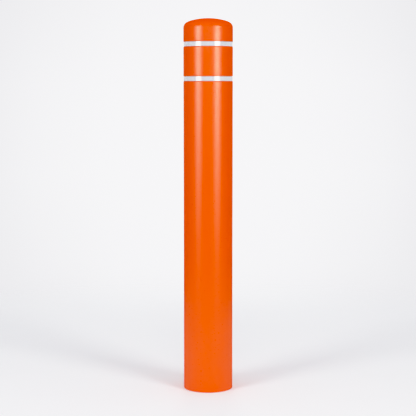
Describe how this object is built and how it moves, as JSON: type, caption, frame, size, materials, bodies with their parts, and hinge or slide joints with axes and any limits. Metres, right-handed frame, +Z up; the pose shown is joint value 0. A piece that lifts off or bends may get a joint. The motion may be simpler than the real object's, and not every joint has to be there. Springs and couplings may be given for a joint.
{
  "type": "bollard cover sleeve",
  "caption": "Tall moulded plastic sleeve with a low domed top, white reflective tape bands in shallow grooves and foam grip strips inside, slid over a round steel post to protect and mark it",
  "frame": {"origin": "on the sleeve's axis, in the plane of the base rim that rests on the ground", "axes": "+Z up along the axis of the sleeve towards the dome; -Y is the side that faces the camera in the picture; the tapes' butted ends are on +Y"},
  "size_m": [0.1881, 0.1882, 1.424],
  "materials": {
    "shell_plastic": "satin",
    "reflective_tape": "gloss",
    "grip_foam": "matte"
  },
  "bodies": {
    "root": {"sleeve_shell": "shell_plastic", "upper_reflective_band": "reflective_tape", "lower_reflective_band": "reflective_tape", "upper_foam_strip_front": "grip_foam", "upper_foam_strip_right": "grip_foam", "upper_foam_strip_back": "grip_foam", "upper_foam_strip_left": "grip_foam", "lower_foam_strip_front": "grip_foam", "lower_foam_strip_right": "grip_foam", "lower_foam_strip_back": "grip_foam", "lower_foam_strip_left": "grip_foam"}
  },
  "joints": []
}
